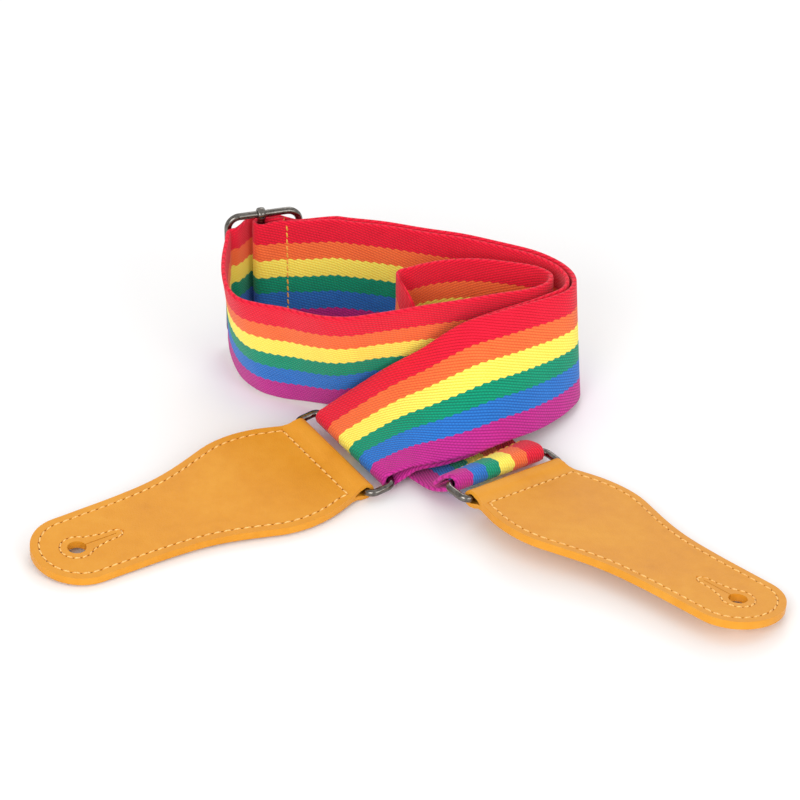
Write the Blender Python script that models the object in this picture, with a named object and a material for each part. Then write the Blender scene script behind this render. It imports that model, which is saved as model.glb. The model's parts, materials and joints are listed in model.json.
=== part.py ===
"""Guitar strap lying coiled: one striped webbing on its edge, a wire glide, two wire rings and
two folded leather ends. Every part is its own object; lengths are in millimetres up to the last
step of each part, which turns them into metres."""
import math

import bmesh
import bpy
import numpy as np
from mathutils import Matrix, Vector

MM = 0.001

# Webbing
WEB_WIDTH = 50.8
WEB_THICK = 2.0
SQUEEZED_WIDTH = 49.2
SECTION_STEP = 4.0

# Wire parts
WIRE_RADIUS = 1.5
LOOP_RADIUS = WIRE_RADIUS + 0.3 + WEB_THICK / 2
RING_LENGTH = 11.5
RING_HALF_WIDTH = 28.0
RING_CORNER = 3.6

# Glide, seen along the strap: side rods at these distances from the centre bar
GLIDE_CENTRE = (-57.0, 49.6)
GLIDE_AZIMUTH = 15.0
GLIDE_SIDES = (-14.0, 16.0)
GLIDE_BOTTOM = 2.95
GLIDE_HEIGHT = 56.0
GLIDE_CORNER = 5.0
EYE_OUTER = 2.8
EYE_INNER = 1.65
EYE_LENGTH = 3.2

# Ring bars inside the webbing loops: middle of the bar, azimuth and elevation of its red side
LEFT_BAR = (-17.4, -45.6, 6.4)
LEFT_BAR_TURN = (123.0, 4.5)
RIGHT_BAR = (37.4, -63.9, 8.6)
RIGHT_BAR_TURN = (45.0, -9.0)

# Leather ends
LEATHER_LENGTH = 137.0
LEATHER_THICK = 3.2
LEATHER_PLY = 1.6
FOLD_TO_BAR = 3.5
OUTLINE = [(0, 25.4), (7, 25.5), (14, 28.0), (22, 30.6), (32, 32.0), (42, 31.2), (52, 28.0),
           (63, 24.4), (75, 21.8), (90, 20.6), (105, 20.3), (119, 20.2)]
TIP_LENGTH = 18.0
BUTTON_HOLE = (119.5, 3.75)
SLIT_END = 102.0
SLIT_WIDTH = 1.0
THREAD_WIDTH = 0.9
THREAD_HEIGHT = 0.4
THREAD_LIFT = 0.12
SEAM_INSET = 3.4
CROSS_SEAM = 11.8

# Middle surface between the two layers of the doubled part, from the glide round the right-hand
# end to the left ring: x, y, z of the red edge, azimuth and elevation of the width, and the
# distance of each layer's middle from the surface.
DOUBLED = [
    (-26.0, 52.6, 55.4, 90, 90, 1.4), (-8.0, 50.8, 54.0, 90, 90, 1.4),
    (10.0, 47.0, 53.0, 90, 90, 1.4), (28.0, 42.0, 52.4, 90, 90, 1.4),
    (45.0, 35.0, 52.2, 90, 90, 1.4), (57.5, 27.4, 52.2, 90, 90, 1.4),
    (65.6, 18.8, 52.3, 90, 90, 1.4), (68.8, 9.5, 52.4, 180, 89, 1.5),
    (66.8, 0.6, 52.6, 158, 85, 1.6), (58.8, -5.6, 52.6, 138, 78, 1.7),
    (49.0, -10.8, 52.2, 131, 71, 1.7), (38.3, -15.4, 51.2, 125, 63, 1.7),
    (27.2, -17.6, 48.4, 116, 53, 1.7), (18.1, -17.3, 41.8, 107, 42, 1.7),
    (8.9, -16.3, 33.6, 101, 31, 1.7), (-3.2, -16.1, 25.2, 104, 20, 1.7),
    (-13.5, -17.6, 18.4, 112, 12, 1.9),
]

# Single layer from the glide round the left-hand end and the inner loop, by its red edge.
SINGLE = [
    (-70.8, 36.5, 54.2, 180, 89), (-71.6, 26.0, 52.8, 185, 86), (-71.3, 14.0, 51.8, 195, 82),
    (-69.4, 4.0, 51.0, 205, 78), (-65.0, -3.4, 50.6, 215, 76), (-56.0, -8.3, 50.5, 222, 76),
    (-47.0, -12.2, 51.2, 226, 76), (-38.5, -18.2, 52.4, 232, 75), (-30.0, -23.6, 53.8, 244, 74),
    (-20.5, -26.0, 54.8, 264, 73), (-8.0, -23.0, 55.0, 282, 73), (8.0, -17.8, 55.0, 288, 77),
    (24.0, -12.6, 55.0, 288, 81), (39.0, -7.6, 54.7, 290, 85), (51.0, -2.4, 53.9, 300, 88),
    (59.2, 4.4, 53.2, 320, 89), (60.8, 11.8, 52.6, 90, 90), (55.4, 18.0, 52.4, 90, 90),
    (44.0, 22.4, 52.2, 90, 90), (29.0, 25.0, 52.0, 90, 90), (15.5, 23.6, 52.0, 90, 90),
    (5.6, 19.2, 51.8, 90, 90), (-1.0, 13.8, 51.2, 0, 90),
]

# The same layer laid down flat and led forward to the right ring: middle of the width, azimuth
# and elevation of the width.
LAID_DOWN = [
    (-5.0, 9.6, 23.2, -42, 50), (-6.0, 5.4, 16.8, -27, 24), (-5.0, 1.0, 9.6, -11, 10),
    (-3.0, -4.0, 4.0, 4, 5), (0.0, -9.6, 1.8, 17, 0), (5.0, -18.0, 1.5, 27, 0),
    (12.0, -29.0, 1.5, 36, 0), (24.0, -46.0, 1.9, 41, -1),
]

STRAP_COLOUR = (0.76, 0.02, 0.06)
LEATHER_COLOUR = (0.80, 0.42, 0.08)
METAL_COLOUR = (0.12, 0.11, 0.10)
THREAD_COLOUR = (0.90, 0.66, 0.22)


def clear_file():
    for old in list(bpy.data.objects):
        bpy.data.objects.remove(old, do_unlink=True)


def new_collection(name):
    group = bpy.data.collections.new(name)
    bpy.context.scene.collection.children.link(group)
    return group


def new_material(name, colour, roughness, metallic):
    mat = bpy.data.materials.new(name)
    mat.use_nodes = True
    shader = mat.node_tree.nodes["Principled BSDF"]
    shader.inputs["Base Color"].default_value = (*colour, 1.0)
    shader.inputs["Roughness"].default_value = roughness
    shader.inputs["Metallic"].default_value = metallic
    return mat


def unit(v):
    v = np.asarray(v, float)
    return v / np.linalg.norm(v)


def heading(azimuth, elevation=0.0):
    a = math.radians(azimuth)
    e = math.radians(elevation)
    return np.array([math.cos(e) * math.cos(a), math.cos(e) * math.sin(a), math.sin(e)])


def knot(middle, width, half=WEB_WIDTH / 2):
    return np.array([*middle, *width, half])


def edge_knot(row, last=WEB_WIDTH / 2):
    """Knot of a table row, which gives the red edge."""
    width = heading(row[3], row[4])
    return knot(np.array(row[:3]) - width * WEB_WIDTH / 2, width, last)


def spline(knots, step):
    """Centripetal Catmull-Rom curve through the knots, with at least one piece between two."""
    pts = [2 * knots[0] - knots[1]] + list(knots) + [2 * knots[-1] - knots[-2]]
    out = []
    for i in range(1, len(pts) - 2):
        p0, p1, p2, p3 = pts[i - 1:i + 3]
        t0 = 0.0
        t1 = t0 + np.linalg.norm((p1 - p0)[:3]) ** 0.5
        t2 = t1 + np.linalg.norm((p2 - p1)[:3]) ** 0.5
        t3 = t2 + np.linalg.norm((p3 - p2)[:3]) ** 0.5
        count = max(1, int(round(np.linalg.norm((p2 - p1)[:3]) / step)))
        for k in range(count):
            t = t1 + (t2 - t1) * k / count
            a1 = p0 * (t1 - t) / (t1 - t0) + p1 * (t - t0) / (t1 - t0)
            a2 = p1 * (t2 - t) / (t2 - t1) + p2 * (t - t1) / (t2 - t1)
            a3 = p2 * (t3 - t) / (t3 - t2) + p3 * (t - t2) / (t3 - t2)
            b1 = a1 * (t2 - t) / (t2 - t0) + a2 * (t - t0) / (t2 - t0)
            b2 = a2 * (t3 - t) / (t3 - t1) + a3 * (t - t1) / (t3 - t1)
            out.append(b1 * (t2 - t) / (t2 - t1) + b2 * (t - t1) / (t2 - t1))
    out.append(pts[-2])
    return out


def frames(samples):
    """Middle, width direction, face normal and half-width of every sample."""
    middles = np.array([s[:3] for s in samples])
    along = np.gradient(middles, axis=0)
    out = []
    for sample, tangent in zip(samples, along):
        width = unit(sample[3:6])
        out.append((sample[:3], width, unit(np.cross(tangent, width)), sample[6]))
    return out


def doubled_layers():
    """Inner layer from the glide to the left ring, outer layer from the ring to the glide."""
    inner = []
    outer = []
    middles = spline([edge_knot(row[:5], row[5]) for row in DOUBLED], SECTION_STEP)
    for middle, width, normal, offset in frames(middles):
        inner.append(knot(middle + normal * offset, width))
        outer.append(knot(middle - normal * offset, width))
    return inner, outer[::-1]


def bar_wrap(centre, width, start, turn, half=WEB_WIDTH / 2):
    """Knots round a bar, from the radial direction start through the angle turn."""
    width = unit(width)
    first = unit(np.asarray(start) - width * (np.asarray(start) @ width))
    side = np.cross(width, first)
    out = []
    for i in range(7):
        a = math.radians(turn) * i / 6
        radial = first * math.cos(a) + side * math.sin(a)
        out.append(knot(np.asarray(centre) + LOOP_RADIUS * radial, width, half))
    return out


def glide_point(along, inwards, height):
    t = heading(GLIDE_AZIMUTH)
    inside = np.array([t[1], -t[0], 0.0])
    return np.array([*GLIDE_CENTRE, height]) + t * along + inside * inwards


def glide_middle():
    return GLIDE_BOTTOM + GLIDE_HEIGHT / 2


def glide_knots(rows, half=WEB_WIDTH / 2):
    up = (0.0, 0.0, 1.0)
    return [knot(glide_point(u, n, glide_middle()), up, half) for u, n in rows]


def strap_knots():
    """The whole strap from its end sewn at the glide to its end sewn at the right ring."""
    up = (0.0, 0.0, 1.0)
    inner, outer = doubled_layers()
    away = glide_point(0, -1, 0) - glide_point(0, 0, 0)
    squeezed = SQUEEZED_WIDTH / 2
    knots = glide_knots([(9.4, 1.2), (6.0, -0.3)])
    knots += glide_knots([(3.0, -1.9)], squeezed)
    knots += bar_wrap(glide_point(0, 0, glide_middle()), up, away, 180, squeezed)
    knots += glide_knots([(5.0, 2.9), (10.0, 3.6), (16.0, 5.4)])
    knots += inner
    knots += bar_wrap(LEFT_BAR, heading(*LEFT_BAR_TURN), (0, 0, -1), 180)
    knots += outer
    knots += glide_knots([(17.0, 3.1), (13.9, 2.2), (11.2, -0.3), (8.0, -3.4), (4.0, -5.3),
                          (0.0, -5.6), (-4.5, -3.9), (-8.5, 0.3), (-11.5, 2.8),
                          (-14.2, 3.2)], squeezed)
    knots += [edge_knot(row) for row in SINGLE]
    knots += [knot(row[:3], heading(row[3], row[4])) for row in LAID_DOWN]
    azimuth = RIGHT_BAR_TURN[0]
    middle = np.array(RIGHT_BAR)
    back = heading(azimuth + 90)
    knots += [knot(middle + back * 9.6 + (0, 0, -4.9), heading(azimuth, -4))]
    knots += bar_wrap(RIGHT_BAR, heading(*RIGHT_BAR_TURN), (0, 0, -1), -180)
    knots += [knot(middle + back * 5.0 + (0, 0, 1.4), heading(azimuth, -7)),
              knot(middle + back * 9.0 + (0, 0, -1.9), heading(azimuth, -4))]
    return knots


def finish(name, mesh, material, group, smooth=False):
    """Object of its own from a mesh in millimetres."""
    mesh.transform(Matrix.Scale(MM, 4))
    mesh.materials.clear()
    mesh.materials.append(material)
    if smooth:
        mesh.polygons.foreach_set("use_smooth", [True] * len(mesh.polygons))
    part = bpy.data.objects.new(name, mesh)
    group.objects.link(part)
    return part


def mesh_from(bm, name):
    bmesh.ops.recalc_face_normals(bm, faces=bm.faces)
    mesh = bpy.data.meshes.new(name)
    bm.to_mesh(mesh)
    bm.free()
    return mesh


def section_loft(rings, name):
    """Closed loft through sections of four corners each, with both ends capped."""
    bm = bmesh.new()
    rows = [[bm.verts.new(Vector(c)) for c in ring] for ring in rings]
    for a, b in zip(rows, rows[1:]):
        for k in range(4):
            bm.faces.new((a[k], a[(k + 1) % 4], b[(k + 1) % 4], b[k]))
    bm.faces.new(rows[0])
    bm.faces.new(rows[-1][::-1])
    return mesh_from(bm, name)


def band_corners(middle, width, normal, half, thick):
    w = width * half
    n = normal * thick / 2
    return [middle + w + n, middle + w - n, middle - w - n, middle - w + n]


def make_webbing(material, group):
    rings = []
    for middle, width, normal, half in frames(spline(strap_knots(), SECTION_STEP)):
        rings.append(band_corners(middle, width, normal, half, WEB_THICK))
    return finish("webbing", section_loft(rings, "webbing"), material, group)


def face_bar(name, middle, width, normal, material, group):
    """Straight bar of thread lying across one face of the webbing."""
    lift = WEB_THICK / 2 + THREAD_LIFT + THREAD_HEIGHT / 2
    along = unit(np.cross(width, normal))
    centre = np.asarray(middle) + normal * lift
    rings = []
    for side in (-1, 1):
        end = centre + width * side * (WEB_WIDTH / 2 - 1.2)
        rings.append(band_corners(end, along, normal, THREAD_WIDTH / 2, THREAD_HEIGHT))
    return finish(name, section_loft(rings, name), material, group)


def wire_mesh(points, radius, cyclic, name, resolution=2):
    """Round wire along a path."""
    curve = bpy.data.curves.new(name, "CURVE")
    curve.dimensions = "3D"
    curve.bevel_depth = radius
    curve.bevel_resolution = resolution
    curve.use_fill_caps = not cyclic
    line = curve.splines.new("POLY")
    line.points.add(len(points) - 1)
    for slot, p in zip(line.points, points):
        slot.co = (*p, 1.0)
    line.use_cyclic_u = cyclic
    holder = bpy.data.objects.new(name, curve)
    bpy.context.scene.collection.objects.link(holder)
    bpy.context.view_layer.update()
    graph = bpy.context.evaluated_depsgraph_get()
    mesh = bpy.data.meshes.new_from_object(holder.evaluated_get(graph))
    bpy.data.objects.remove(holder, do_unlink=True)
    bm = bmesh.new()
    bm.from_mesh(mesh)
    bmesh.ops.remove_doubles(bm, verts=bm.verts, dist=1e-4)
    bpy.data.meshes.remove(mesh)
    return mesh_from(bm, name)


def rounded_loop(x0, x1, y0, y1, corner, steps=5):
    """Corner points of a rounded rectangle, counter-clockwise."""
    out = []
    for cx, cy, start in ((x1 - corner, y0 + corner, -90), (x1 - corner, y1 - corner, 0),
                          (x0 + corner, y1 - corner, 90), (x0 + corner, y0 + corner, 180)):
        for i in range(steps + 1):
            a = math.radians(start + 90 * i / steps)
            out.append((cx + corner * math.cos(a), cy + corner * math.sin(a)))
    return out


def make_ring(name, bar, turn, side, material, group):
    """Rectangular wire ring: one bar in the webbing loop, the other RING_LENGTH away along side."""
    across = heading(*turn)
    out = unit(np.asarray(side) - across * (np.asarray(side) @ across))
    path = [np.array(bar) + out * u + across * v
            for u, v in rounded_loop(0, RING_LENGTH, -RING_HALF_WIDTH, RING_HALF_WIDTH, RING_CORNER)]
    return finish(name, wire_mesh(path, WIRE_RADIUS, True, name, 3), material, group, True)


def make_glide_frame(material, group):
    path = []
    for u, v in rounded_loop(*GLIDE_SIDES, GLIDE_BOTTOM, GLIDE_BOTTOM + GLIDE_HEIGHT, GLIDE_CORNER):
        path.append(glide_point(u, 0, v))
    mesh = wire_mesh(path, WIRE_RADIUS, True, "glide_frame", 3)
    return finish("glide_frame", mesh, material, group, True)


def eye_mesh(height):
    """Short tube round a rod of the frame, its hole along the strap."""
    bm = bmesh.new()
    t = heading(GLIDE_AZIMUTH)
    inside = np.array([t[1], -t[0], 0.0])
    profile = [(EYE_INNER, -EYE_LENGTH / 2), (EYE_OUTER - 0.4, -EYE_LENGTH / 2),
               (EYE_OUTER, -EYE_LENGTH / 2 + 0.4), (EYE_OUTER, EYE_LENGTH / 2 - 0.4),
               (EYE_OUTER - 0.4, EYE_LENGTH / 2), (EYE_INNER, EYE_LENGTH / 2)]
    rows = []
    for i in range(24):
        a = math.radians(15 * i)
        radial = inside * math.cos(a) + np.array([0, 0, 1]) * math.sin(a)
        rows.append([bm.verts.new(Vector(glide_point(0, 0, height) + radial * r + t * u))
                     for r, u in profile])
    for a, b in zip(rows, rows[1:] + rows[:1]):
        for k in range(6):
            bm.faces.new((a[k], a[(k + 1) % 6], b[(k + 1) % 6], b[k]))
    return mesh_from(bm, "eye")


def join_solids(base, others, operation, group, solver_group):
    """Boolean of a mesh in millimetres with other meshes, returned as a plain mesh."""
    body = bpy.data.objects.new("body", base)
    group.objects.link(body)
    for k, mesh in enumerate(others):
        tool = bpy.data.objects.new("cutter_%d" % k, mesh)
        tool.hide_render = True
        tool.display_type = "WIRE"
        solver_group.objects.link(tool)
        step = body.modifiers.new("cut_%d" % k, "BOOLEAN")
        step.operation = operation
        step.solver = "EXACT"
        step.object = tool
    bpy.context.view_layer.update()
    graph = bpy.context.evaluated_depsgraph_get()
    result = bpy.data.meshes.new_from_object(body.evaluated_get(graph))
    bpy.data.objects.remove(body, do_unlink=True)
    return result


def make_centre_bar(material, group, cutters):
    top = GLIDE_BOTTOM + GLIDE_HEIGHT
    ends = (GLIDE_BOTTOM + EYE_INNER + 0.5, top - EYE_INNER - 0.5)
    rod = wire_mesh([glide_point(0, 0, z) for z in ends], WIRE_RADIUS, False, "rod", 4)
    mesh = join_solids(rod, [eye_mesh(GLIDE_BOTTOM), eye_mesh(top)], "UNION", group, cutters)
    return finish("glide_centre_bar", mesh, material, group, True)


def half_width(t):
    """Half-width of the leather end at the distance t from its fold, smooth between the knots."""
    straight = LEATHER_LENGTH - TIP_LENGTH
    xs = [p[0] for p in OUTLINE]
    ys = [p[1] for p in OUTLINE]
    u = min(max(t, 0.0), straight)
    i = max(k for k in range(len(xs) - 1) if xs[k] <= u)
    slopes = [0.0] + [(ys[k + 1] - ys[k - 1]) / (xs[k + 1] - xs[k - 1])
                      for k in range(1, len(xs) - 1)] + [0.0]
    d = xs[i + 1] - xs[i]
    s = (u - xs[i]) / d
    value = ((2 * s ** 3 - 3 * s ** 2 + 1) * ys[i] + (s ** 3 - 2 * s ** 2 + s) * d * slopes[i]
             + (3 * s ** 2 - 2 * s ** 3) * ys[i + 1] + (s ** 3 - s ** 2) * d * slopes[i + 1])
    if t > straight:
        value *= math.sqrt(max(0.0, 1 - ((t - straight) / TIP_LENGTH) ** 2))
    return value


def leather_outline(inset=0.0):
    """Closed outline in the plane of the leather end, from the fold round the tip and back."""
    straight = LEATHER_LENGTH - TIP_LENGTH
    stations = [straight * i / 34 for i in range(34)]
    stations += [straight + TIP_LENGTH * math.sin(math.radians(90 * i / 14)) for i in range(15)]
    upper = [Vector((t, half_width(t))) for t in stations]
    if inset == 0.0:
        return [(p.x, p.y) for p in upper] + [(p.x, -p.y) for p in upper[-2::-1]]
    shifted = []
    for i, p in enumerate(upper):
        ahead = upper[min(i + 1, len(upper) - 1)] - upper[max(i - 1, 0)]
        if i == len(upper) - 1:
            ahead = Vector((0.0, -1.0))
        normal = Vector((-ahead.y, ahead.x)).normalized()
        q = p - normal * inset
        if q.x >= CROSS_SEAM and q.y > -1e-6:
            shifted.append(q)
    first = Vector((CROSS_SEAM, shifted[0].y))
    upper = [first] + [q for q in shifted if q.x > CROSS_SEAM + 1.0]
    return [(p.x, p.y) for p in upper] + [(p.x, -p.y) for p in upper[-2::-1]]


def prism(outline, low, high, name):
    bm = bmesh.new()
    base = [bm.verts.new((x, y, low)) for x, y in outline]
    top = [bm.verts.new((x, y, high)) for x, y in outline]
    bm.faces.new(base[::-1])
    bm.faces.new(top)
    for k in range(len(base)):
        n = (k + 1) % len(base)
        bm.faces.new((base[k], base[n], top[n], top[k]))
    return mesh_from(bm, name)


def fold_profile():
    """Side view of the folded leather: round over the bar, then two plies pressed together."""
    reach = WIRE_RADIUS + 0.4 + LEATHER_PLY
    half = LEATHER_THICK / 2
    pts = []
    for i in range(13):
        a = math.radians(90 + 180 * i / 12)
        pts.append((FOLD_TO_BAR + reach * math.cos(a), reach * math.sin(a)))
    pts += [(FOLD_TO_BAR + 2.5, -reach + 0.35), (FOLD_TO_BAR + 4.8, -half - 0.5),
            (FOLD_TO_BAR + 7.4, -half), (LEATHER_LENGTH + 5, -half), (LEATHER_LENGTH + 5, half),
            (FOLD_TO_BAR + 7.4, half), (FOLD_TO_BAR + 4.8, half + 0.5),
            (FOLD_TO_BAR + 2.5, reach - 0.35)]
    return pts


def tunnel_profile():
    """Teardrop hollow left for the ring bar between the plies."""
    r = WIRE_RADIUS + 0.4
    pts = [(FOLD_TO_BAR + r * math.cos(math.radians(a)), r * math.sin(math.radians(a)))
           for a in range(70, 291, 20)]
    return pts + [(FOLD_TO_BAR + 6.0, 0.0)]


def side_prism(profile, half, name):
    """Prism across the leather from a side view given as distance and height."""
    mesh = prism(profile, -half, half, name)
    turn = Matrix(((1, 0, 0, 0), (0, 0, -1, 0), (0, 1, 0, 0), (0, 0, 0, 1)))
    mesh.transform(turn)
    return mesh


def end_matrix(bar, turn, side, pitch):
    """Placement of a leather end: its fold round the ring bar, its tip away from the webbing."""
    across = heading(*turn)
    out = unit(np.asarray(side) - across * (np.asarray(side) @ across))
    centre = np.array(bar) + out * RING_LENGTH
    up = np.cross(out, across)
    if up[2] < 0:
        across = -across
        up = -up
    base = Matrix([[out[k], across[k], up[k]] for k in range(3)]).to_4x4()
    lean = Matrix.Rotation(math.radians(pitch), 4, "Y")
    return Matrix.Translation(Vector(centre)) @ base @ lean @ Matrix.Translation((-FOLD_TO_BAR, 0, 0))


def make_leather(name, place, material, group, cutters):
    plate = prism(leather_outline(), -12, 12, "plate")
    sides = side_prism(fold_profile(), 50, "sides")
    body = join_solids(plate, [sides], "INTERSECT", group, cutters)
    hole_x, hole_r = BUTTON_HOLE
    ring = [(hole_x + hole_r * math.cos(math.radians(a)), hole_r * math.sin(math.radians(a)))
            for a in range(0, 360, 15)]
    slit = [(SLIT_END, -SLIT_WIDTH / 2), (hole_x, -SLIT_WIDTH / 2), (hole_x, SLIT_WIDTH / 2),
            (SLIT_END, SLIT_WIDTH / 2), (SLIT_END - 0.5, 0)]
    cuts = [prism(ring, -9, 9, "hole"), prism(slit, -8, 8, "slit"),
            side_prism(tunnel_profile(), 60, "tunnel")]
    body = join_solids(body, cuts, "DIFFERENCE", group, cutters)
    body.transform(place)
    return finish(name, body, material, group)


def thread_band(path, closed, name):
    """Flat thread lying just above the top face of the leather."""
    low = LEATHER_THICK / 2 + THREAD_LIFT
    high = low + THREAD_HEIGHT
    pts = [Vector(p) for p in path]
    rings = []
    for i, p in enumerate(pts):
        a = pts[i - 1] if closed or i > 0 else p
        b = pts[(i + 1) % len(pts)] if closed or i < len(pts) - 1 else p
        d = (b - a).normalized()
        n = Vector((-d.y, d.x)) * THREAD_WIDTH / 2
        rings.append([(p.x + n.x, p.y + n.y, high), (p.x - n.x, p.y - n.y, high),
                      (p.x - n.x, p.y - n.y, low), (p.x + n.x, p.y + n.y, low)])
    if not closed:
        return section_loft(rings, name)
    bm = bmesh.new()
    rows = [[bm.verts.new(c) for c in ring] for ring in rings]
    for a, b in zip(rows, rows[1:] + rows[:1]):
        for k in range(4):
            bm.faces.new((a[k], a[(k + 1) % 4], b[(k + 1) % 4], b[k]))
    return mesh_from(bm, name)


def keyhole_path():
    """Line of stitches round the button hole, drawn in along both sides of the slit."""
    hole_x, hole_r = BUTTON_HOLE
    r = hole_r + 3.0
    pts = []
    for i in range(17):
        a = math.radians(-140 + 280 * i / 16)
        pts.append((hole_x + r * math.cos(a), r * math.sin(a)))
    side = [(SLIT_END + 6.0, 2.7), (SLIT_END - 1.0, 2.4), (SLIT_END - 3.2, 0.0)]
    mirror = [(SLIT_END - 1.0, -2.4), (SLIT_END + 6.0, -2.7)]
    return pts + side + mirror


def make_seams(prefix, place, material, group):
    for name, path in (("edge_seam", leather_outline(SEAM_INSET)), ("keyhole_seam", keyhole_path())):
        mesh = thread_band(path, True, name)
        mesh.transform(place)
        finish(prefix + name, mesh, material, group)


def make_web_seams(material, group):
    t = heading(GLIDE_AZIMUTH)
    inside = np.array([t[1], -t[0], 0.0])
    middle = glide_point(9.0, 3.55, glide_middle())
    face_bar("glide_seam", middle, np.array([0, 0, 1.0]), inside, material, group)
    width = heading(RIGHT_BAR_TURN[0], -5.5)
    back = heading(RIGHT_BAR_TURN[0] + 90)
    slope = unit(back * 4.6 + np.array([0, 0, -3.3]))
    normal = unit(np.cross(width, slope))
    normal = normal * (1 if normal[2] > 0 else -1)
    middle = np.array(RIGHT_BAR) + back * 7.3 + (0, 0, -0.25)
    face_bar("ring_seam", middle, width, normal, material, group)


def centre_on_origin(group):
    """Move everything so that the middle of the bounding box's base is the origin."""
    corners = [v.co for part in group.objects for v in part.data.vertices]
    low = [min(c[k] for c in corners) for k in range(3)]
    high = [max(c[k] for c in corners) for k in range(3)]
    shift = Vector((-(low[0] + high[0]) / 2, -(low[1] + high[1]) / 2, -low[2]))
    for part in group.objects:
        part.data.transform(Matrix.Translation(shift))
    return shift


def set_origin(part, point):
    """Put the part's origin on its joint axis without moving its surface."""
    part.data.transform(Matrix.Translation(-point))
    part.location = point


def main():
    clear_file()
    group = new_collection("guitar_strap")
    cutters = new_collection("cutters")
    strap = new_material("webbing", STRAP_COLOUR, 0.85, 0.0)
    leather = new_material("leather", LEATHER_COLOUR, 0.5, 0.0)
    metal = new_material("metal", METAL_COLOUR, 0.25, 1.0)
    thread = new_material("thread", THREAD_COLOUR, 0.6, 0.0)
    make_webbing(strap, group)
    make_web_seams(thread, group)
    frame = make_glide_frame(metal, group)
    make_centre_bar(metal, group, cutters)
    left_out = -heading(LEFT_BAR_TURN[0] - 90)
    right_out = heading(RIGHT_BAR_TURN[0] - 90)
    left_side = left_out + np.array([0, 0, -0.12])
    right_side = right_out + np.array([0, 0, -0.16])
    left_ring = make_ring("left_ring", LEFT_BAR, LEFT_BAR_TURN, left_side, metal, group)
    right_ring = make_ring("right_ring", RIGHT_BAR, RIGHT_BAR_TURN, right_side, metal, group)
    left_place = end_matrix(LEFT_BAR, LEFT_BAR_TURN, left_side, -6.0)
    right_place = end_matrix(RIGHT_BAR, RIGHT_BAR_TURN, right_side, -8.8)
    left_end = make_leather("left_leather_end", left_place, leather, group, cutters)
    right_end = make_leather("right_leather_end", right_place, leather, group, cutters)
    make_seams("left_", left_place, thread, group)
    make_seams("right_", right_place, thread, group)
    shift = centre_on_origin(group)
    for part, point in ((frame, glide_point(0, 0, glide_middle())), (left_ring, LEFT_BAR),
                        (right_ring, RIGHT_BAR),
                        (left_end, left_place @ Vector((FOLD_TO_BAR, 0, 0))),
                        (right_end, right_place @ Vector((FOLD_TO_BAR, 0, 0)))):
        set_origin(part, Vector(point) * MM + shift)


main()
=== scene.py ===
"""Guitar strap: striped woven webbing with its stitching, wire rings, glide and leather ends,
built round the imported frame. Routes and outlines are in millimetres and are turned into metres
as each piece is finished."""
import json
import math

import bmesh
import bpy
import numpy as np
from mathutils import Matrix, Vector


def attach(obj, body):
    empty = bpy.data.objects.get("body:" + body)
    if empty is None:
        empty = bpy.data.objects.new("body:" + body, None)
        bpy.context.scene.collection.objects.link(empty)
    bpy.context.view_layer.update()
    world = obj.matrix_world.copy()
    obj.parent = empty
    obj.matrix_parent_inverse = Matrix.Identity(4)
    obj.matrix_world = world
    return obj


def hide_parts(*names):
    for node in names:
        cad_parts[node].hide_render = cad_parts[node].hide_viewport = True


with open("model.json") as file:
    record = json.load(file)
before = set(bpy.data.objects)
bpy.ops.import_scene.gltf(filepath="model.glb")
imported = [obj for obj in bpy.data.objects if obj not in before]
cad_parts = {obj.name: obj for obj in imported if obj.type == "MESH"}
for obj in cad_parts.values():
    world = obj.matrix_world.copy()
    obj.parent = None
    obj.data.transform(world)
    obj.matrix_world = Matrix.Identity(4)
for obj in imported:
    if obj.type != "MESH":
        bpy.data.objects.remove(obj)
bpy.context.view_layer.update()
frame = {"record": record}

MM = 0.001

# Webbing
WEB_WIDTH = 50.8
WEB_THICK = 2.0
SQUEEZED_WIDTH = 49.2
LAYER_STEP = 4.0
SECTION_STEP = 1.4

# Wire parts
WIRE_RADIUS = 1.5
LOOP_RADIUS = WIRE_RADIUS + 0.3 + WEB_THICK / 2
RING_LENGTH = 11.5
RING_HALF_WIDTH = 28.0
RING_CORNER = 3.6

# Glide, seen along the strap: side rods at these distances from the centre bar
GLIDE_CENTRE = (-57.0, 49.6)
GLIDE_AZIMUTH = 15.0
GLIDE_SIDES = (-14.0, 16.0)
GLIDE_BOTTOM = 2.95
GLIDE_HEIGHT = 56.0
GLIDE_CORNER = 5.0
EYE_OUTER = 2.8
EYE_INNER = 1.65
EYE_LENGTH = 3.2

# Ring bars inside the webbing loops: middle of the bar, azimuth and elevation of its red side
LEFT_BAR = (-17.4, -45.6, 6.4)
LEFT_BAR_TURN = (123.0, 4.5)
RIGHT_BAR = (37.4, -63.9, 8.6)
RIGHT_BAR_TURN = (45.0, -9.0)

# How each end falls to the table: slope of its ring, pitch of the leather on the ring in degrees
LEFT_FALL = (-0.12, -6.0)
RIGHT_FALL = (-0.16, -8.8)

# Leather ends
LEATHER_LENGTH = 137.0
LEATHER_THICK = 3.2
LEATHER_PLY = 1.6
FOLD_TO_BAR = 3.5
TUNNEL_RADIUS = WIRE_RADIUS + 0.4
OUTLINE = [(0, 25.4), (7, 25.5), (14, 28.0), (22, 30.6), (32, 32.0), (42, 31.2), (52, 28.0),
           (63, 24.4), (75, 21.8), (90, 20.6), (105, 20.3), (119, 20.2)]
TIP_LENGTH = 18.0
BUTTON_HOLE = (119.5, 3.75)
SLIT_END = 102.0
SLIT_WIDTH = 0.35
SEAM_INSET = 3.4
CROSS_SEAM = 11.8
GROOVE_WIDTH = 1.3
GROOVE_DEPTH = 0.3


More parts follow.
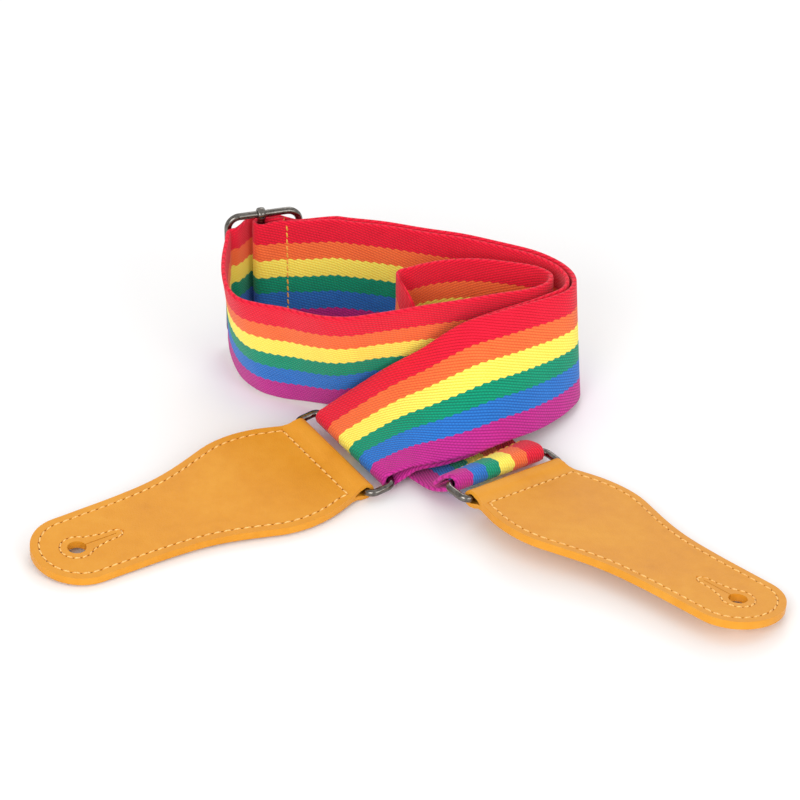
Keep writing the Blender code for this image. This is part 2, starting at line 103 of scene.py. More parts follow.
# Middle surface between the two layers of the doubled part, from the glide round the right-hand
# end to the left ring: x, y, z of the red edge, azimuth and elevation of the width, and the
# distance of each layer's middle from the surface.
DOUBLED = [
    (-26.0, 52.6, 55.4, 90, 90, 1.4), (-8.0, 50.8, 54.0, 90, 90, 1.4),
    (10.0, 47.0, 53.0, 90, 90, 1.4), (28.0, 42.0, 52.4, 90, 90, 1.4),
    (45.0, 35.0, 52.2, 90, 90, 1.4), (57.5, 27.4, 52.2, 90, 90, 1.4),
    (65.6, 18.8, 52.3, 90, 90, 1.4), (68.8, 9.5, 52.4, 180, 89, 1.5),
    (66.8, 0.6, 52.6, 158, 85, 1.6), (58.8, -5.6, 52.6, 138, 78, 1.7),
    (49.0, -10.8, 52.2, 131, 71, 1.7), (38.3, -15.4, 51.2, 125, 63, 1.7),
    (27.2, -17.6, 48.4, 116, 53, 1.7), (18.1, -17.3, 41.8, 107, 42, 1.7),
    (8.9, -16.3, 33.6, 101, 31, 1.7), (-3.2, -16.1, 25.2, 104, 20, 1.7),
    (-13.5, -17.6, 18.4, 112, 12, 1.9),
]

# Single layer from the glide round the left-hand end and the inner loop, by its red edge.
SINGLE = [
    (-70.8, 36.5, 54.2, 180, 89), (-71.6, 26.0, 52.8, 185, 86), (-71.3, 14.0, 51.8, 195, 82),
    (-69.4, 4.0, 51.0, 205, 78), (-65.0, -3.4, 50.6, 215, 76), (-56.0, -8.3, 50.5, 222, 76),
    (-47.0, -12.2, 51.2, 226, 76), (-38.5, -18.2, 52.4, 232, 75), (-30.0, -23.6, 53.8, 244, 74),
    (-20.5, -26.0, 54.8, 264, 73), (-8.0, -23.0, 55.0, 282, 73), (8.0, -17.8, 55.0, 288, 77),
    (24.0, -12.6, 55.0, 288, 81), (39.0, -7.6, 54.7, 290, 85), (51.0, -2.4, 53.9, 300, 88),
    (59.2, 4.4, 53.2, 320, 89), (60.8, 11.8, 52.6, 90, 90), (55.4, 18.0, 52.4, 90, 90),
    (44.0, 22.4, 52.2, 90, 90), (29.0, 25.0, 52.0, 90, 90), (15.5, 23.6, 52.0, 90, 90),
    (5.6, 19.2, 51.8, 90, 90), (-1.0, 13.8, 51.2, 0, 90),
]

# The same layer laid down flat and led forward to the right ring: middle of the width, azimuth
# and elevation of the width.
LAID_DOWN = [
    (-5.0, 9.6, 23.2, -42, 50), (-6.0, 5.4, 16.8, -27, 24), (-5.0, 1.0, 9.6, -11, 10),
    (-3.0, -4.0, 4.0, 4, 5), (0.0, -9.6, 1.8, 17, 0), (5.0, -18.0, 1.5, 27, 0),
    (12.0, -29.0, 1.5, 36, 0), (24.0, -46.0, 1.9, 41, -1),
]


def unit(v):
    v = np.asarray(v, float)
    return v / np.linalg.norm(v)


def heading(azimuth, elevation=0.0):
    a = math.radians(azimuth)
    e = math.radians(elevation)
    return np.array([math.cos(e) * math.cos(a), math.cos(e) * math.sin(a), math.sin(e)])


def knot(middle, width, half=WEB_WIDTH / 2):
    return np.array([*middle, *width, half])


def edge_knot(row, last=WEB_WIDTH / 2):
    """Knot of a table row, which gives the red edge."""
    width = heading(row[3], row[4])
    return knot(np.array(row[:3]) - width * WEB_WIDTH / 2, width, last)


def spline(knots, step):
    """Centripetal Catmull-Rom curve through the knots, with at least one piece between two."""
    pts = [2 * knots[0] - knots[1]] + list(knots) + [2 * knots[-1] - knots[-2]]
    out = []
    for i in range(1, len(pts) - 2):
        p0, p1, p2, p3 = pts[i - 1:i + 3]
        t0 = 0.0
        t1 = t0 + np.linalg.norm((p1 - p0)[:3]) ** 0.5
        t2 = t1 + np.linalg.norm((p2 - p1)[:3]) ** 0.5
        t3 = t2 + np.linalg.norm((p3 - p2)[:3]) ** 0.5
        count = max(1, int(round(np.linalg.norm((p2 - p1)[:3]) / step)))
        for k in range(count):
            t = t1 + (t2 - t1) * k / count
            a1 = p0 * (t1 - t) / (t1 - t0) + p1 * (t - t0) / (t1 - t0)
            a2 = p1 * (t2 - t) / (t2 - t1) + p2 * (t - t1) / (t2 - t1)
            a3 = p2 * (t3 - t) / (t3 - t2) + p3 * (t - t2) / (t3 - t2)
            b1 = a1 * (t2 - t) / (t2 - t0) + a2 * (t - t0) / (t2 - t0)
            b2 = a2 * (t3 - t) / (t3 - t1) + a3 * (t - t1) / (t3 - t1)
            out.append(b1 * (t2 - t) / (t2 - t1) + b2 * (t - t1) / (t2 - t1))
    out.append(pts[-2])
    return out


def frames(samples):
    """Middle, width direction, face normal and half-width of every sample."""
    middles = np.array([s[:3] for s in samples])
    along = np.gradient(middles, axis=0)
    out = []
    for sample, tangent in zip(samples, along):
        width = unit(sample[3:6])
        out.append((sample[:3], width, unit(np.cross(tangent, width)), sample[6]))
    return out


def doubled_layers():
    """Inner layer from the glide to the left ring, outer layer from the ring to the glide."""
    inner = []
    outer = []
    middles = spline([edge_knot(row[:5], row[5]) for row in DOUBLED], LAYER_STEP)
    for middle, width, normal, offset in frames(middles):
        inner.append(knot(middle + normal * offset, width))
        outer.append(knot(middle - normal * offset, width))
    return inner, outer[::-1]


def bar_wrap(centre, width, start, turn, half=WEB_WIDTH / 2):
    """Knots round a bar, from the radial direction start through the angle turn."""
    width = unit(width)
    first = unit(np.asarray(start) - width * (np.asarray(start) @ width))
    side = np.cross(width, first)
    out = []
    for i in range(7):
        a = math.radians(turn) * i / 6
        radial = first * math.cos(a) + side * math.sin(a)
        out.append(knot(np.asarray(centre) + LOOP_RADIUS * radial, width, half))
    return out


def glide_point(along, inwards, height):
    t = heading(GLIDE_AZIMUTH)
    inside = np.array([t[1], -t[0], 0.0])
    return np.array([*GLIDE_CENTRE, height]) + t * along + inside * inwards


def glide_middle():
    return GLIDE_BOTTOM + GLIDE_HEIGHT / 2


def glide_knots(rows, half=WEB_WIDTH / 2):
    up = (0.0, 0.0, 1.0)
    return [knot(glide_point(u, n, glide_middle()), up, half) for u, n in rows]


def strap_knots():
    """The whole strap from its end sewn at the glide to its end sewn at the right ring."""
    up = (0.0, 0.0, 1.0)
    inner, outer = doubled_layers()
    away = glide_point(0, -1, 0) - glide_point(0, 0, 0)
    squeezed = SQUEEZED_WIDTH / 2
    knots = glide_knots([(9.4, 1.2), (6.0, -0.3)])
    knots += glide_knots([(3.0, -1.9)], squeezed)
    knots += bar_wrap(glide_point(0, 0, glide_middle()), up, away, 180, squeezed)
    knots += glide_knots([(5.0, 2.9), (10.0, 3.6), (16.0, 5.4)])
    knots += inner
    knots += bar_wrap(LEFT_BAR, heading(*LEFT_BAR_TURN), (0, 0, -1), 180)
    knots += outer
    knots += glide_knots([(17.0, 3.1), (13.9, 2.2), (11.2, -0.3), (8.0, -3.4), (4.0, -5.3),
                          (0.0, -5.6), (-4.5, -3.9), (-8.5, 0.3), (-11.5, 2.8),
                          (-14.2, 3.2)], squeezed)
    knots += [edge_knot(row) for row in SINGLE]
    knots += [knot(row[:3], heading(row[3], row[4])) for row in LAID_DOWN]
    azimuth = RIGHT_BAR_TURN[0]
    middle = np.array(RIGHT_BAR)
    back = heading(azimuth + 90)
    knots += [knot(middle + back * 9.6 + (0, 0, -4.9), heading(azimuth, -4))]
    knots += bar_wrap(RIGHT_BAR, heading(*RIGHT_BAR_TURN), (0, 0, -1), -180)
    knots += [knot(middle + back * 5.0 + (0, 0, 1.4), heading(azimuth, -7)),
              knot(middle + back * 9.0 + (0, 0, -1.9), heading(azimuth, -4))]
    return knots


def mesh_from(bm, name):
    bmesh.ops.recalc_face_normals(bm, faces=bm.faces)
    mesh = bpy.data.meshes.new(name)
    bm.to_mesh(mesh)
    bm.free()
    return mesh


def rounded_loop(x0, x1, y0, y1, corner, steps=5):
    """Corner points of a rounded rectangle, counter-clockwise."""
    out = []
    for cx, cy, start in ((x1 - corner, y0 + corner, -90), (x1 - corner, y1 - corner, 0),
                          (x0 + corner, y1 - corner, 90), (x0 + corner, y0 + corner, 180)):
        for i in range(steps + 1):
            a = math.radians(start + 90 * i / steps)
            out.append((cx + corner * math.cos(a), cy + corner * math.sin(a)))
    return out


def half_width(t):
    """Half-width of the leather end at the distance t from its fold, smooth between the knots."""
    straight = LEATHER_LENGTH - TIP_LENGTH
    xs = [p[0] for p in OUTLINE]
    ys = [p[1] for p in OUTLINE]
    u = min(max(t, 0.0), straight)
    i = max(k for k in range(len(xs) - 1) if xs[k] <= u)
    slopes = [0.0] + [(ys[k + 1] - ys[k - 1]) / (xs[k + 1] - xs[k - 1])
                      for k in range(1, len(xs) - 1)] + [0.0]
    d = xs[i + 1] - xs[i]
    s = (u - xs[i]) / d
    value = ((2 * s ** 3 - 3 * s ** 2 + 1) * ys[i] + (s ** 3 - 2 * s ** 2 + s) * d * slopes[i]
             + (3 * s ** 2 - 2 * s ** 3) * ys[i + 1] + (s ** 3 - s ** 2) * d * slopes[i + 1])
    if t > straight:
        value *= math.sqrt(max(0.0, 1 - ((t - straight) / TIP_LENGTH) ** 2))
    return value


def leather_outline(inset=0.0):
    """Closed outline in the plane of the leather end, from the fold round the tip and back."""
    straight = LEATHER_LENGTH - TIP_LENGTH
    stations = [straight * i / 34 for i in range(34)]
    stations += [straight + TIP_LENGTH * math.sin(math.radians(90 * i / 14)) for i in range(15)]
    upper = [Vector((t, half_width(t))) for t in stations]
    if inset == 0.0:
        return [(p.x, p.y) for p in upper] + [(p.x, -p.y) for p in upper[-2::-1]]
    shifted = []
    for i, p in enumerate(upper):
        ahead = upper[min(i + 1, len(upper) - 1)] - upper[max(i - 1, 0)]
        if i == len(upper) - 1:
            ahead = Vector((0.0, -1.0))
        normal = Vector((-ahead.y, ahead.x)).normalized()
        q = p - normal * inset
        if q.x >= CROSS_SEAM and q.y > -1e-6:
            shifted.append(q)
    first = Vector((CROSS_SEAM, shifted[0].y))
    upper = [first] + [q for q in shifted if q.x > CROSS_SEAM + 1.0]
    return [(p.x, p.y) for p in upper] + [(p.x, -p.y) for p in upper[-2::-1]]


def prism(outline, low, high, name):
    bm = bmesh.new()
    base = [bm.verts.new((x, y, low)) for x, y in outline]
    top = [bm.verts.new((x, y, high)) for x, y in outline]
    bm.faces.new(base[::-1])
    bm.faces.new(top)
    for k in range(len(base)):
        n = (k + 1) % len(base)
        bm.faces.new((base[k], base[n], top[n], top[k]))
    return mesh_from(bm, name)


def fold_profile():
    """Side view of the folded leather: round over the bar, then two plies pressed together."""
    reach = TUNNEL_RADIUS + LEATHER_PLY
    half = LEATHER_THICK / 2
    pts = []
    for i in range(13):
        a = math.radians(90 + 180 * i / 12)
        pts.append((FOLD_TO_BAR + reach * math.cos(a), reach * math.sin(a)))
    pts += [(FOLD_TO_BAR + 2.5, -reach + 0.35), (FOLD_TO_BAR + 4.8, -half - 0.5),
            (FOLD_TO_BAR + 7.4, -half), (LEATHER_LENGTH + 5, -half), (LEATHER_LENGTH + 5, half),
            (FOLD_TO_BAR + 7.4, half), (FOLD_TO_BAR + 4.8, half + 0.5),
            (FOLD_TO_BAR + 2.5, reach - 0.35)]
    return pts


def tunnel_profile():
    """Teardrop hollow left for the ring bar between the plies."""
    r = TUNNEL_RADIUS
    pts = [(FOLD_TO_BAR + r * math.cos(math.radians(a)), r * math.sin(math.radians(a)))
           for a in range(70, 291, 20)]
    return pts + [(FOLD_TO_BAR + 6.0, 0.0)]


def side_prism(profile, half, name):
    """Prism across the leather from a side view given as distance and height."""
    mesh = prism(profile, -half, half, name)
    turn = Matrix(((1, 0, 0, 0), (0, 0, -1, 0), (0, 1, 0, 0), (0, 0, 0, 1)))
    mesh.transform(turn)
    return mesh


def end_matrix(bar, turn, side, pitch):
    """Placement of a leather end: its fold round the ring bar, its tip away from the webbing."""
    across = heading(*turn)
    out = unit(np.asarray(side) - across * (np.asarray(side) @ across))
    centre = np.array(bar) + out * RING_LENGTH
    up = np.cross(out, across)
    if up[2] < 0:
        across = -across
        up = -up
    base = Matrix([[out[k], across[k], up[k]] for k in range(3)]).to_4x4()
    lean = Matrix.Rotation(math.radians(pitch), 4, "Y")
    to_bar = Matrix.Translation((-FOLD_TO_BAR, 0, 0))
    return Matrix.Translation(Vector(centre)) @ base @ lean @ to_bar


def keyhole_path():
    """Line of stitches round the button hole, drawn in along both sides of the slit."""
    hole_x, hole_r = BUTTON_HOLE
    r = hole_r + 3.0
    pts = []
    for i in range(17):
        a = math.radians(-140 + 280 * i / 16)
        pts.append((hole_x + r * math.cos(a), r * math.sin(a)))
    side = [(SLIT_END + 6.0, 2.7), (SLIT_END - 1.0, 2.4), (SLIT_END - 3.2, 0.0)]
    mirror = [(SLIT_END - 1.0, -2.4), (SLIT_END + 6.0, -2.7)]
    return pts + side + mirror


# Stripes from the purple edge to the red edge: where each ends as a share of the width, and its
# lit colour and its painted-shade colour for the grooves between ribs, as eight-bit values
STRIPES = [
    (0.180, (208, 46, 154), (142, 16, 100)), (0.340, (46, 128, 216), (20, 78, 162)),
    (0.485, (0, 164, 124), (0, 102, 80)), (0.645, (255, 248, 112), (252, 216, 52)),
    (0.800, (255, 124, 66), (224, 84, 36)), (1.000, (246, 28, 60), (190, 0, 34)),
]
# Twill: spacing of the ribs, their slant, and spacing of the bumps along a rib
RIB_PITCH = 1.15
RIB_ANGLE = 19.0
DOT_PITCH = 1.35

STITCH_PITCH = 4.0
STITCH_LENGTH = 3.1
KEYHOLE_STITCH_LENGTH = 2.3
STITCH_RADIUS = 0.36
# Stitches through the webbing, and how far they stay from its edges
WEB_STITCH_LENGTH = 2.6
WEB_STITCH_RADIUS = 0.34
WEB_STITCH_INSET = 1.6
# Middle of the stitches beside the glide: distance along it and inwards
GLIDE_STITCHES = (9.4, 3.6)

CAMERA_DISTANCE = 1.8
CAMERA_ELEVATION = 32.0
CAMERA_LENS = 198.8


def linear(colour):
    """Linear colour from eight-bit sRGB values."""
    out = [c / 255 / 12.92 if c <= 10 else ((c / 255 + 0.055) / 1.055) ** 2.4 for c in colour]
    return (*out, 1.0)


def joint_place(name):
    for joint in frame["record"]["behaviour"]["joints"]:
        if joint["name"] == name:
            return np.array(joint["pos_m"]) / MM
    raise KeyError(name)


SHIFT = joint_place("left_ring_hinge") - np.array(LEFT_BAR)


class Graph:
    """Short way to write a node tree."""

    def __init__(self, name, roughness, metallic=0.0):
        self.material = bpy.data.materials.new(name)
        self.material.use_nodes = True
        self.tree = self.material.node_tree
        self.shader = self.tree.nodes["Principled BSDF"]
        self.shader.inputs["Roughness"].default_value = roughness
        self.shader.inputs["Metallic"].default_value = metallic

    def put(self, socket, value):
        if isinstance(value, bpy.types.NodeSocket):
            self.tree.links.new(value, socket)
        else:
            socket.default_value = value

    def math(self, operation, a, b=0.0, c=0.0):
        node = self.tree.nodes.new("ShaderNodeMath")
        node.operation = operation
        for socket, value in zip(node.inputs, (a, b, c)):
            self.put(socket, value)
        return node.outputs[0]

    def wave(self, phase):
        """Cosine wave of the phase in turns, from 0 to 1."""
        swing = self.math("COSINE", self.math("MULTIPLY", phase, 2 * math.pi))
        return self.math("MULTIPLY_ADD", swing, 0.5, 0.5)

    def noise(self, vector, scale, detail=2.0, roughness=0.5):
        node = self.tree.nodes.new("ShaderNodeTexNoise")
        self.put(node.inputs["Vector"], vector)
        node.inputs["Scale"].default_value = scale
        node.inputs["Detail"].default_value = detail
        node.inputs["Roughness"].default_value = roughness
        return node.outputs[0]

    def cells(self, vector, scale):
        node = self.tree.nodes.new("ShaderNodeTexVoronoi")
        self.put(node.inputs["Vector"], vector)
        node.inputs["Scale"].default_value = scale
        return node.outputs["Distance"]

    def ramp(self, value, stops, constant=False):
        node = self.tree.nodes.new("ShaderNodeValToRGB")
        node.color_ramp.interpolation = "CONSTANT" if constant else "LINEAR"
        band = node.color_ramp.elements
        while len(band) < len(stops):
            band.new(0.5)
        for element, (place, colour) in zip(band, stops):
            element.position = place
            element.color = colour
        self.put(node.inputs[0], value)
        return node.outputs[0]

    def mix(self, factor, a, b):
        node = self.tree.nodes.new("ShaderNodeMix")
        node.data_type = "RGBA"
        self.put(node.inputs[0], factor)
        self.put(node.inputs[6], a)
        self.put(node.inputs[7], b)
        return node.outputs[2]

    def bump(self, height, distance, strength=1.0):
        node = self.tree.nodes.new("ShaderNodeBump")
        node.inputs["Strength"].default_value = strength
        node.inputs["Distance"].default_value = distance
        self.put(node.inputs["Height"], height)
        self.tree.links.new(node.outputs[0], self.shader.inputs["Normal"])

    def coordinate(self):
        return self.tree.nodes.new("ShaderNodeTexCoord").outputs["Object"]

    def stored(self, name):
        node = self.tree.nodes.new("ShaderNodeAttribute")
        node.attribute_name = name
        return node.outputs["Vector"]

    def parts(self, vector):
        node = self.tree.nodes.new("ShaderNodeSeparateXYZ")
        self.put(node.inputs[0], vector)
        return node.outputs


def webbing_material():
    """Twill ribs slanting along the strap, six stripes with stepped edges where ribs cross them.
    Each stripe goes from painted shade in the grooves between ribs to a lit colour on the rib tops.
    """
    g = Graph("woven_stripes", 0.88)
    uv = g.tree.nodes.new("ShaderNodeUVMap")
    uv.uv_map = "weave"
    along, across, _ = g.parts(uv.outputs[0])
    a = math.radians(RIB_ANGLE)
    pitch = RIB_PITCH * MM
    ribs = g.math("MULTIPLY_ADD", along, math.sin(a) / pitch,
                  g.math("MULTIPLY", across, math.cos(a) / pitch))
    dots = g.math("MULTIPLY_ADD", along, math.cos(a) / (DOT_PITCH * MM),
                  g.math("MULTIPLY", across, -math.sin(a) / (DOT_PITCH * MM)))
    row = g.math("FLOOR", ribs)
    odd = g.math("MULTIPLY", g.math("PINGPONG", row, 1.0), 0.5)
    inside = g.math("SUBTRACT", g.math("SUBTRACT", ribs, row), 0.5)
    rib = g.math("SUBTRACT", 1.0, g.math("POWER", g.math("ABSOLUTE",
                                                         g.math("MULTIPLY", inside, 2.0)), 2.2))
    dot = g.wave(g.math("ADD", dots, odd))
    lift = g.math("MULTIPLY", rib, g.math("MULTIPLY_ADD", dot, 0.4, 0.6))
    fuzz = g.noise(uv.outputs[0], 1500.0, 3.0, 0.6)
    height = g.math("MULTIPLY_ADD", fuzz, 0.25, lift)
    step = 0.6 * pitch / math.cos(a)
    place = g.math("MULTIPLY_ADD", inside, -step, across)
    place = g.math("MULTIPLY_ADD", fuzz, 0.0002, place)
    place = g.math("MULTIPLY_ADD", place, 1 / (WEB_WIDTH * MM), 0.498)
    starts = [0.0] + [s[0] for s in STRIPES[:-1]]
    # Lit copy and painted-shade copy of the stripes
    lit_stripes = g.ramp(place, [(p, linear(s[1])) for p, s in zip(starts, STRIPES)], True)
    painted_shade = g.ramp(place, [(p, linear(s[2])) for p, s in zip(starts, STRIPES)], True)
    cloudy = g.noise(uv.outputs[0], 120.0)
    # Painted shade: the colour darkens with the rib height into the grooves between ribs; the
    # clouding is random tone
    tone = g.math("MULTIPLY_ADD", cloudy, 0.3, g.math("MULTIPLY_ADD", height, 0.95, -0.15))
    tone = g.math("MINIMUM", g.math("MAXIMUM", tone, 0.0), 1.0)
    g.put(g.shader.inputs["Base Color"], g.mix(tone, painted_shade, lit_stripes))
    g.shader.inputs["Sheen Weight"].default_value = 0.15
    g.shader.inputs["Sheen Roughness"].default_value = 0.5
    g.shader.inputs["Specular IOR Level"].default_value = 0.2
    g.bump(height, 0.00028, 0.9)
    return g.material


def leather_material():
    """Smooth tan leather with a faint grain, soft clouding and pores."""
    g = Graph("tan_leather", 0.45)
    place = g.stored("flat_place")
    clouds = g.noise(place, 28.0, 4.0, 0.6)
    streaks = g.noise(place, 190.0, 3.0, 0.6)
    grain = g.cells(place, 1500.0)
    shade = g.math("MULTIPLY_ADD", streaks, 0.35, g.math("MULTIPLY", clouds, 0.75))
    colour = g.ramp(shade, [(0.30, linear((210, 136, 26))), (0.55, linear((220, 147, 36))),
                            (0.80, linear((227, 158, 50)))])
    g.put(g.shader.inputs["Base Color"], colour)
    rough = g.math("MULTIPLY_ADD", clouds, 0.22, g.math("MULTIPLY_ADD", grain, 0.12, 0.30))
    g.put(g.shader.inputs["Roughness"], rough)
    g.shader.inputs["Specular IOR Level"].default_value = 0.28
    height = g.math("MULTIPLY_ADD", clouds, 2.5, g.math("ADD", grain, streaks))
    g.bump(height, 0.00007, 0.8)
    return g.material


def rim_material():
    """Cut edge: two plies, the lower one rough and browner, with the glue line between them."""
    g = Graph("leather_cut_edge", 0.7)
    place = g.stored("flat_place")
    rough = g.noise(place, 900.0, 4.0, 0.7)
    level = g.math("MULTIPLY_ADD", rough, 0.0005, g.parts(place)[2])
    level = g.math("MULTIPLY_ADD", level, 1 / (LEATHER_THICK * MM), 0.42)
    colour = g.ramp(level, [(0.00, linear((150, 78, 22))), (0.30, linear((196, 110, 40))),
                            (0.46, linear((176, 94, 30))), (0.50, linear((120, 60, 16))),
                            (0.55, linear((216, 138, 56))), (0.90, linear((226, 146, 56))),
                            (1.00, linear((206, 124, 38)))])
    g.put(g.shader.inputs["Base Color"], colour)
    g.bump(rough, 0.0003, 0.8)
    return g.material


def thread_material(name, colour, painted_shade):
    """Twisted thread: fine slanting plies."""
    g = Graph(name, 0.6)
    place = g.coordinate()
    ply = g.noise(place, 1600.0, 2.0)
    # The darker colour is painted shade between the plies, laid where the ply noise that also
    # drives the bump is low
    g.put(g.shader.inputs["Base Color"], g.ramp(ply, [(0.35, linear(painted_shade)),
                                                      (0.6, linear(colour))]))
    g.bump(ply, 0.00015, 0.7)
    return g.material


def metal_material():
    """Dark polished nickel wire with faint drawing marks."""
    g = Graph("dark_nickel", 0.2, 1.0)
    place = g.coordinate()
    marks = g.noise(place, 700.0, 3.0, 0.6)
    g.put(g.shader.inputs["Base Color"], g.ramp(marks, [(0.3, linear((88, 84, 80))),
                                                        (0.7, linear((132, 128, 122)))]))
    g.put(g.shader.inputs["Roughness"], g.math("MULTIPLY_ADD", marks, 0.2, 0.1))
    g.bump(marks, 0.00002, 0.5)
    return g.material


def painted_hole_shade_material():
    # Dark brown with random tone, for the flat discs of painted shade at the stitch holes
    g = Graph("stitch_hole_shade", 0.9)
    tone = g.noise(g.coordinate(), 900.0)
    g.put(g.shader.inputs["Base Color"], g.ramp(tone, [(0.3, linear((96, 46, 12))),
                                                       (0.7, linear((140, 74, 24)))]))
    return g.material


def show(name, mesh, materials, matrix, body, stands_for=()):
    """Piece from a mesh in millimetres, standing where the matrix puts it and riding on a body."""
    mesh.transform(Matrix.Scale(MM, 4) @ Matrix.Translation(SHIFT) @ matrix)
    for material in materials:
        mesh.materials.append(material)
    piece = bpy.data.objects.new(name, mesh)
    bpy.context.scene.collection.objects.link(piece)
    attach(piece, body)
    if stands_for:
        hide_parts(*stands_for)
    return piece


def smooth(mesh, angle=180.0):
    mesh.polygons.foreach_set("use_smooth", [True] * len(mesh.polygons))
    if angle < 180.0:
        mesh.set_sharp_from_angle(angle=math.radians(angle))


def band_profile(half):
    """Cross-section of the webbing as (across, up) pairs, with rounded selvedges."""
    flat = half - 0.8
    count = 20
    top = [(flat - 2 * flat * i / count, 0.93) for i in range(count + 1)]
    left = [(-flat - 0.8 * math.sin(math.radians(a)), 0.93 * math.cos(math.radians(a)))
            for a in (30, 60, 90, 120, 150)]
    right = [(-x, -z) for x, z in left]
    return top + left + [(-x, -z) for x, z in top] + right


def joined_rows(bm, rows):
    """Faces between rows of points that each run round a closed section."""
    faces = []
    for a, b in zip(rows, rows[1:]):
        for k in range(len(a)):
            n = (k + 1) % len(a)
            faces.append(bm.faces.new((a[k], a[n], b[n], b[k])))
    return faces


def make_webbing(material):
    """The whole strap as one band, with its arc length and width kept as a map for the weave."""
    sections = frames(spline(strap_knots(), SECTION_STEP))
    middles = np.array([s[0] for s in sections])
    travelled = np.r_[0.0, np.cumsum(np.linalg.norm(np.diff(middles, axis=0), axis=1))]
    bm = bmesh.new()
    weave = bm.loops.layers.uv.new("weave")
    rows = []
    spans = []
    for (middle, width, normal, half), s in zip(sections, travelled):
        wobble = 0.10 * math.sin(s / 17.0) + 0.07 * math.sin(s / 7.3 + 1.0)
        row = []
        for x, z in band_profile(half + 0.12 * math.sin(s / 5.1)):
            ripple = wobble * math.cos(x / 15.0 + s / 40.0)
            row.append(bm.verts.new(Vector(middle + width * x + normal * (z + ripple))))
        rows.append(row)
        spans.append([x for x, _ in band_profile(half)])
    count = len(rows[0])
    for i in range(len(rows) - 1):
        for k in range(count):
            n = (k + 1) % count
            face = bm.faces.new((rows[i][k], rows[i][n], rows[i + 1][n], rows[i + 1][k]))
            corners = ((i, k), (i, n), (i + 1, n), (i + 1, k))
            for loop, (j, m) in zip(face.loops, corners):
                loop[weave].uv = (travelled[j] * MM, spans[j][m] * MM)
    for j, row in ((0, rows[0]), (-1, rows[-1][::-1])):
        cap = bm.faces.new(row)
        for loop in cap.loops:
            loop[weave].uv = (travelled[j] * MM, 0.0)
    mesh = mesh_from(bm, "striped_webbing")
    smooth(mesh, 60.0)
    piece = show("striped_webbing", mesh, [material], Matrix.Identity(4), "webbing",
                 ["webbing"])
    return sections, travelled


def capsule(bm, a, b, up, radius):
    """Short rounded thread from a to b, flattened a little against the surface below it."""
    ahead = (b - a).normalized()
    side = ahead.cross(up).normalized()
    top = side.cross(ahead)
    rings = []
    for at, share in ((0.0, 0.35), (0.08, 0.75), (0.25, 1.0), (0.5, 1.05), (0.75, 1.0),
                      (0.92, 0.75), (1.0, 0.35)):
        middle = a.lerp(b, at) - top * radius * (1.0 - share) * 1.2
        ring = []
        for k in range(8):
            t = math.radians(45 * k)
            ring.append(bm.verts.new(middle + side * math.cos(t) * radius * share
                                     + top * math.sin(t) * radius * share * 0.85))
        rings.append(ring)
    faces = joined_rows(bm, [ring[::-1] for ring in rings])
    faces.append(bm.faces.new(rings[0]))
    faces.append(bm.faces.new(rings[-1][::-1]))
    for face in faces:
        face.smooth = True


def hole_shade_disc(bm, middle, up, radius):
    """Small flat dark disc of painted shade where the thread goes through, standing for the hole.
    """
    side = up.orthogonal().normalized()
    other = up.cross(side)
    rim = [bm.verts.new(middle + (side * math.cos(math.radians(45 * k))
                                  + other * math.sin(math.radians(45 * k))) * radius)
           for k in range(8)]
    face = bm.faces.new(rim)
    face.material_index = 1


def even_points(path, pitch, closed):
    """Points along a path at an even pitch."""
    pts = [Vector(p) for p in path]
    if closed:
        pts.append(pts[0])
    lengths = [(b - a).length for a, b in zip(pts, pts[1:])]
    total = sum(lengths)
    count = max(2, round(total / pitch))
    out = []
    for i in range(count if closed else count + 1):
        want = total * i / count
        k = 0
        while k < len(lengths) - 1 and want > lengths[k]:
            want -= lengths[k]
            k += 1
        out.append(pts[k].lerp(pts[k + 1], min(1.0, want / lengths[k])))
    return out


def stitches(name, path, closed, up, length, radius, materials, matrix, body, node):
    """Row of separate stitches on a face with the normal up."""
    bm = bmesh.new()
    pitch = STITCH_PITCH if length >= STITCH_LENGTH else STITCH_PITCH * 0.8
    pts = even_points(path, pitch, closed)
    ring = pts + pts[:1] if closed else pts
    for a, b in zip(ring, ring[1:]):
        d = (b - a).normalized()
        lean = d.cross(up) * 0.16
        gap = ((b - a).length - length) / 2
        capsule(bm, a + d * gap + lean, b - d * gap - lean, up, radius)
        # Flat dark disc of painted shade at the hole where the thread goes in
        hole_shade_disc(bm, a - up * radius * 0.55, up, radius * 0.95)
    mesh = bpy.data.meshes.new(name)
    bm.to_mesh(mesh)
    bm.free()
    return show(name, mesh, materials, matrix, body, [node])


def solid(name, mesh):
    holder = bpy.data.objects.new(name, mesh)
    bpy.context.scene.collection.objects.link(holder)
    return holder


def combined(base, steps):
    """Base mesh after boolean steps given as (operation, mesh)."""
    body = solid("work", base)
    tools = []
    for operation, mesh in steps:
        tool = solid("tool", mesh)
        tools.append(tool)
        step = body.modifiers.new("step", "BOOLEAN")
        step.operation = operation
        step.solver = "EXACT"
        step.object = tool
    bpy.context.view_layer.update()
    graph = bpy.context.evaluated_depsgraph_get()
    result = bpy.data.meshes.new_from_object(body.evaluated_get(graph))
    for used in tools + [body]:
        bpy.data.objects.remove(used, do_unlink=True)
    return result


def rounded(mesh, width):
    """The mesh with its sharp edges rounded off."""
    body = solid("work", mesh)
    bevel = body.modifiers.new("round_edges", "BEVEL")
    bevel.width = width
    bevel.segments = 3
    bevel.limit_method = "ANGLE"
    bevel.angle_limit = math.radians(50)
    bpy.context.view_layer.update()
    graph = bpy.context.evaluated_depsgraph_get()
    result = bpy.data.meshes.new_from_object(body.evaluated_get(graph))
    bpy.data.objects.remove(body, do_unlink=True)
    result.materials.clear()
    return result


